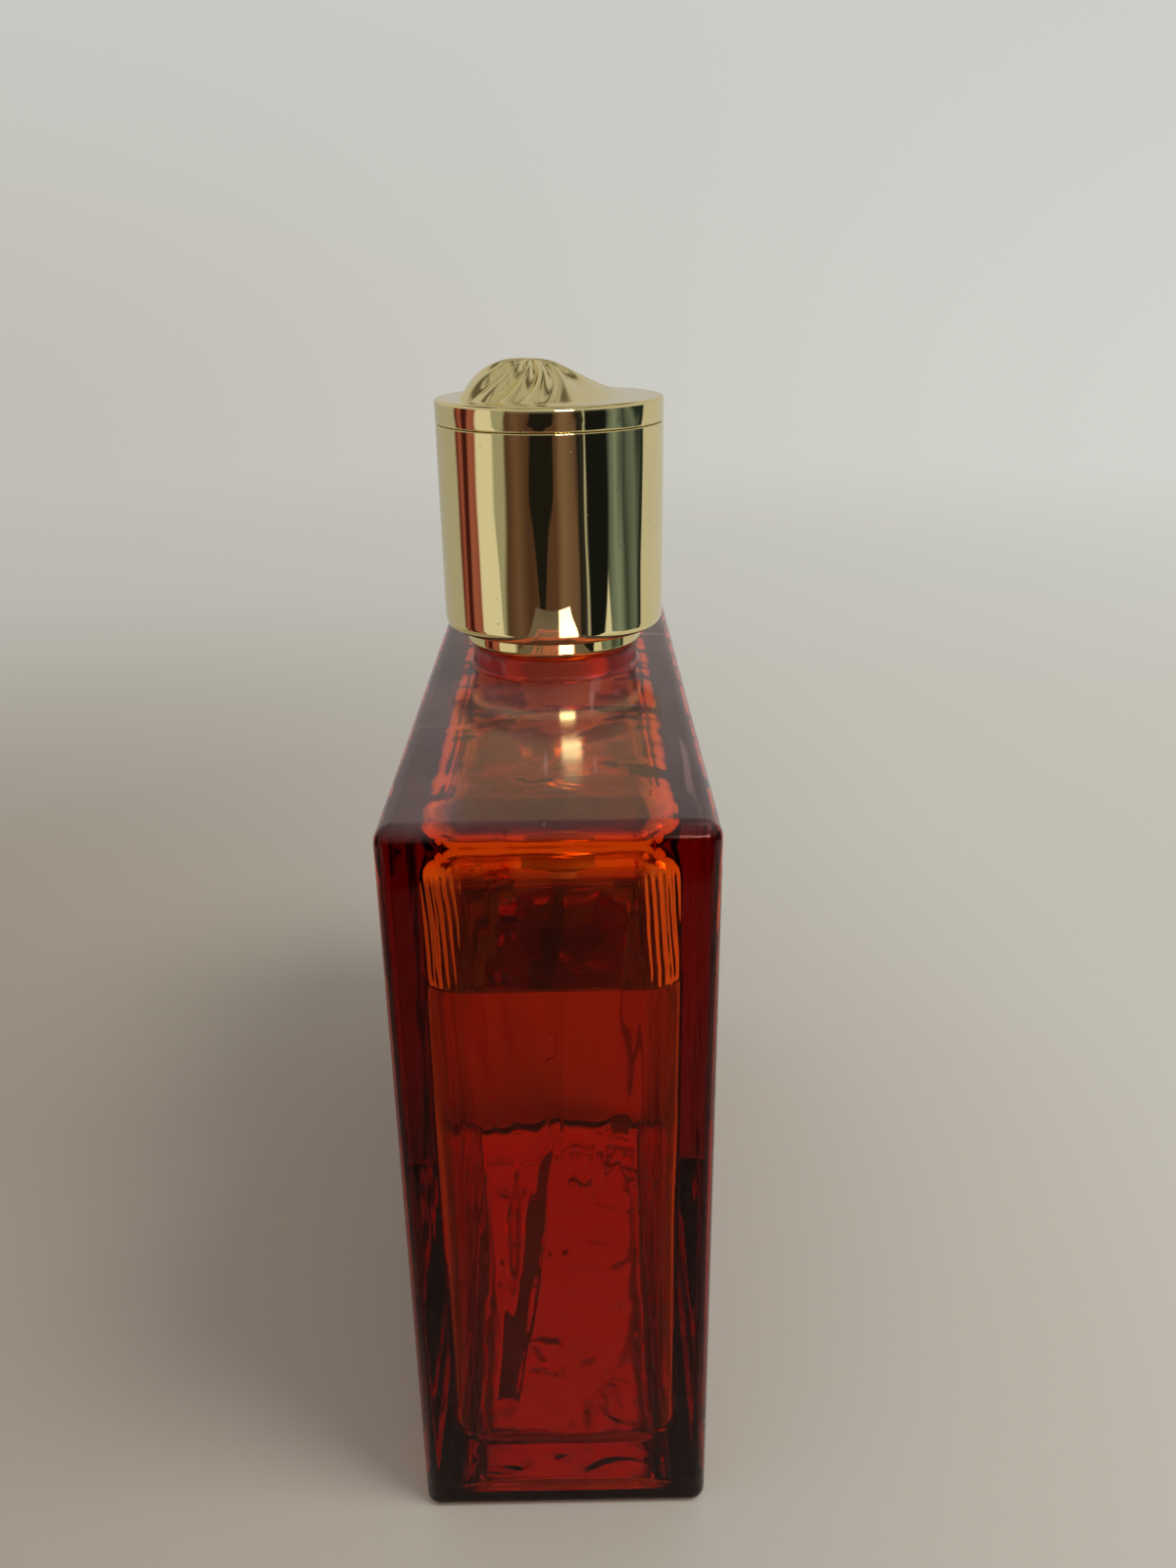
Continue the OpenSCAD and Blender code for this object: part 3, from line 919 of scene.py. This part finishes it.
# %% Finish the hidden pieces
def plain_finish(name, light, dark, scale, rough, grain, metallic=0.0, stretch=(1, 1, 1)):
    """light and dark are its two colours; grain is the height of its fine bump in mm."""
    f = Finish(bpy.data.materials.new(name))
    cloud = f.noise(scale, 4, 0.6, stretch=stretch)
    fine = f.noise(scale * 6, 3, stretch=stretch)
    surface = f.shader(
        Base_Color=f.mix(cloud.between(0.3, 0.7), light, dark), Metallic=metallic,
        Roughness=cloud * 0.2 + rough, Normal=f.bump(fine, grain * MM),
    )
    return f.finish(surface)


white = plain_finish("white_plastic", (0.80, 0.80, 0.78), (0.72, 0.72, 0.69), 200, 0.28, 0.03)
ivory = plain_finish("ivory_plastic", (0.78, 0.73, 0.60), (0.70, 0.64, 0.50), 200, 0.30, 0.03)
steel = plain_finish("steel", (0.62, 0.63, 0.65), (0.50, 0.51, 0.53), 400, 0.12, 0.01, 1.0)
rubber = plain_finish("black_rubber", (0.035, 0.035, 0.037), (0.02, 0.02, 0.02), 500, 0.55, 0.05)
aluminium = plain_finish(
    "bare_aluminium", (0.82, 0.82, 0.84), (0.70, 0.70, 0.72), 300, 0.14, 0.01, 1.0, (1, 1, 0.1)
)
FINISHES = {
    "pump_housing": white, "inlet_ball": steel, "piston": white, "stem": white,
    "stem_gasket": rubber, "turret": white, "neck_gasket": rubber, "ferrule": aluminium,
    "collar_clip": white, "actuator_core": ivory, "actuator_sleeve": collar_gold,
    "nozzle_insert": ivory, "cap_liner": ivory, "cap_weight": steel,
}
for name, finish in FINISHES.items():
    nodes[name].data.materials.clear()
    nodes[name].data.materials.append(finish)
spring.data.materials.append(steel)
print("finished", len(FINISHES) + 1, "hidden pieces")

# %% [markdown]
# ## The floor
# A plain pale tabletop. Its side away from the lamp, towards -Y, is painted darker and warmer as
# painted shade. It isn't part of the object. Far out it thins away to nothing, and the pale room
# shows in its place, so there is no line where the floor ends.

# %% Lay the floor
# The first colour is painted shade: the floor's darker, warmer side away from the lamp.
FLOOR_PAINTED_SHADE = (0.30, 0.24, 0.195)
FLOOR_PALE = (0.52, 0.50, 0.45)
FLOOR_FAR = (0.58, 0.57, 0.53)
FLOOR_RADIUS = 3.0
STAGE_SIDES = 96


def floor_disc():
    mesh = bpy.data.meshes.new("floor")
    rim = round_ring(FLOOR_RADIUS, 0.0, STAGE_SIDES)
    mesh.from_pydata(rim, [], [tuple(range(STAGE_SIDES))])
    piece = bpy.data.objects.new("floor", mesh)
    bpy.context.scene.collection.objects.link(piece)
    return piece


def floor_finish():
    f = Finish(bpy.data.materials.new("pale_floor"))
    x, y, _ = f.parts(f.place())
    cloud = f.noise(3, 3) * 0.25
    # Painted shade: the floor turns darker and warmer towards -Y, away from the lamp.
    painted_shade_fade = (y.between(-0.16, 0.16) + cloud).clipped()
    near = f.mix(painted_shade_fade, FLOOR_PAINTED_SHADE, FLOOR_PALE)
    away = f.mix(x.between(-0.45, -0.02), FLOOR_FAR, near)
    board = f.shader(
        Base_Color=away, Roughness=0.6, Specular_IOR_Level=0.08,
        Normal=f.bump(f.noise(400, 2), 0.03 * MM),
    )
    thin = (x * x + y * y).root().between(0.15, 0.8)
    clear = f.add("ShaderNodeBsdfTransparent")
    return f.finish(f.add("ShaderNodeMixShader", None, {0: thin, 1: board, 2: clear}))


floor = floor_disc()
floor.data.materials.append(floor_finish())
print("floor laid")

# %% [markdown]
# ## What the mirror sees
# A mirror has no colour pattern of its own: its bands are the room. In a plain white studio gold
# looks like flat paint, so cards that glow in dark and coloured stripes are stood round it. Here
# they are one tent of soft upright glowing stripes, with a mottled roof over the cap's relief and
# one small, very bright glowing patch, and only mirror-like reflections see it: the stripes are
# painted reflections in the gold, and the patch is a painted highlight streak on the glass's flat
# top. It lights nothing else and casts no shadow. Each stripe below is an angle in degrees and a
# colour.

# %% Stand the striped cards
RING_RADIUS = 0.2
PALE = (0.52, 0.51, 0.49)
SHADED = (0.38, 0.37, 0.35)
WHITE = (0.66, 0.64, 0.62)
GREENISH = (0.32, 0.33, 0.29)
DARK = (0.05, 0.01, 0.01)
BLACK = (0.008, 0.009, 0.011)
STRIPES = [
    (-180, PALE), (-150, SHADED), (-106, SHADED), (-103, (0.10, 0.02, 0.02)),
    (-97, (0.30, 0.085, 0.07)), (-92, DARK), (-86, DARK), (-83, (0.32, 0.10, 0.085)),
    (-76, (0.26, 0.08, 0.07)), (-74, WHITE), (-60, WHITE), (-57, GREENISH), (-46, GREENISH),
    (-43, (0.075, 0.038, 0.028)), (-32, (0.14, 0.08, 0.06)), (-20, (0.07, 0.035, 0.026)),
    (8, (0.09, 0.045, 0.035)), (15, (0.19, 0.12, 0.09)), (23, (0.12, 0.07, 0.055)),
    (25, (0.015, 0.014, 0.015)), (32, (0.03, 0.027, 0.027)), (33.5, (0.50, 0.49, 0.46)),
    (36, BLACK), (57, BLACK), (62, (0.10, 0.13, 0.135)),
    (72, (0.20, 0.25, 0.26)), (80, (0.04, 0.055, 0.06)), (92, (0.13, 0.17, 0.175)),
    (98, (0.02, 0.03, 0.032)), (103, (0.015, 0.02, 0.02)), (106, PALE), (180, PALE),
]
WEDGE_DARK = (0.012, 0.011, 0.011)
ABOVE_STRIPES = (0.50, 0.48, 0.45)
ROOF_DARK, ROOF_PALE = (0.12, 0.11, 0.085), (0.44, 0.42, 0.37)
GLINT = (20.0, 19.2, 17.4)
GLINT_ANGLE, GLINT_HALF = 0.28, 0.16


def wedge(half_width_there, angle, centre):
    """A mask of a stripe round an angle, whose half width changes with height."""
    return (half_width_there - (angle - centre).size()).between(-0.02, 0.02)


def striped_walls(f, angle, z):
    """The stripes, one dark wedge, and two bright ones that widen downwards."""
    stops = [((place + 180) / 360, colour) for place, colour in STRIPES]
    share = angle / (2 * math.pi) + 0.5
    stripes = f.add("ShaderNodeValToRGB", {"stops": stops}, {0: share}, out="Color")
    stripes = f.mix(wedge((z * 6.0 - 0.20).at_most(0.21), angle, -0.12), stripes, WEDGE_DARK)
    bright = wedge((0.050 - z) * 4.5, angle, 1.02) + wedge((0.066 - z) * 5.0, angle, -1.02)
    return f.mix(bright.clipped(), stripes, WHITE)


def stripes_finish():
    f = Finish(bpy.data.materials.new("painted_reflection_cards"))
    x, y, z = f.parts(f.place())
    bearing = x.angle_to(y)
    drift = f.noise(16, 2, stretch=(1, 1, 0.7)) - 0.5
    lean = (z - 0.05) * 2.4 * bearing.between(0.9, 1.2) * (1 - bearing.between(1.6, 1.8))
    walls = striped_walls(f, bearing + drift * 0.30 + lean, z)
    walls = f.mix(z.between(0.105, 0.125), walls, ABOVE_STRIPES)
    roof = f.mix(f.noise(9, 2, 0.5).between(0.40, 0.60), ROOF_DARK, ROOF_PALE)
    glow = f.mix(z.between(0.24, 0.30), walls, roof)
    # Painted highlight: a very bright glowing patch, seen only in reflections, that puts the
    # bright streak on the glass's flat top.
    glint = (GLINT_HALF - (bearing - GLINT_ANGLE).size()).between(-0.02, 0.03)
    glint = glint * z.between(0.112, 0.122) * (1 - z.between(0.150, 0.162))
    glow = f.mix(glint, glow, GLINT)
    return f.finish(f.add("ShaderNodeEmission", None, {"Color": glow, "Strength": 1.0}))


print("cards have", len(STRIPES), "stops of colour")

# %% [markdown]
# The cards are one open loft with a domed roof. All kinds of ray but mirror-like ones are told to
# pass it by.

# %% Join the cards into a tent
CARD_OUTLINE = (
    (RING_RADIUS, 0.001), (RING_RADIUS, 0.24), (0.17, 0.31), (0.10, 0.36), (0.002, 0.375),
)


def card_tent():
    """An open tent of rings, which has no floor."""
    corners = [p for radius, z in CARD_OUTLINE for p in round_ring(radius, z, STAGE_SIDES)]
    faces = []
    for low_ring in range(0, STAGE_SIDES * (len(CARD_OUTLINE) - 1), STAGE_SIDES):
        high_ring = low_ring + STAGE_SIDES
        for k in range(STAGE_SIDES):
            after = (k + 1) % STAGE_SIDES
            faces.append((low_ring + k, low_ring + after, high_ring + after, high_ring + k))
    mesh = bpy.data.meshes.new("painted_reflection_cards")
    mesh.from_pydata(corners, [], faces)
    tent = bpy.data.objects.new("painted_reflection_cards", mesh)
    bpy.context.scene.collection.objects.link(tent)
    return tent


cards = card_tent()
cards.data.materials.append(stripes_finish())
for sense in ("camera", "diffuse", "transmission", "volume_scatter", "shadow"):
    setattr(cards, "visible_" + sense, False)
print("cards stand", RING_RADIUS, "m out")

# %% [markdown]
# ## Light
# The room is a pale, even shell of light, a little brighter to the right, and one large
# soft lamp hangs above on that side. Everything that the glass shows is bent light from
# these two, so neither may be a hard small lamp.

# %% Set the light
ROOM_LEFT, ROOM_RIGHT = (0.52, 0.50, 0.455), (0.66, 0.66, 0.62)
ROOM_ABOVE = (0.60, 0.605, 0.575)
world = bpy.data.worlds.new("pale_room")
bpy.context.scene.world = world
room = Finish(world)
_, across, up = room.parts(room.add("ShaderNodeTexCoord", out="Generated"))
shade = room.mix(across.between(-0.6, 0.6), ROOM_LEFT, ROOM_RIGHT)
sky = room.mix(up.between(-0.10, 0.30), shade, ROOM_ABOVE)
background = room.add("ShaderNodeBackground", None, {"Color": sky, "Strength": 1.0})
room.add("ShaderNodeOutputWorld", None, {"Surface": background}, out=None)


def soft_lamp(name, place, target, size, power, colour):
    light = bpy.data.lights.new(name, "AREA")
    light.shape = "DISK"
    light.size = size
    light.energy = power
    light.color = colour
    lamp = bpy.data.objects.new(name, light)
    bpy.context.scene.collection.objects.link(lamp)
    lamp.location = place
    lamp.rotation_euler = (Vector(target) - Vector(place)).to_track_quat("-Z", "Y").to_euler()


soft_lamp("overhead_lamp", (0.25, 0.55, 0.9), (0, 0, 0.04), 0.5, 6.0, (1.0, 0.98, 0.95))
scene_view = bpy.context.scene.view_settings
scene_view.view_transform = "Standard"
scene_view.look = "None"
print("light set")
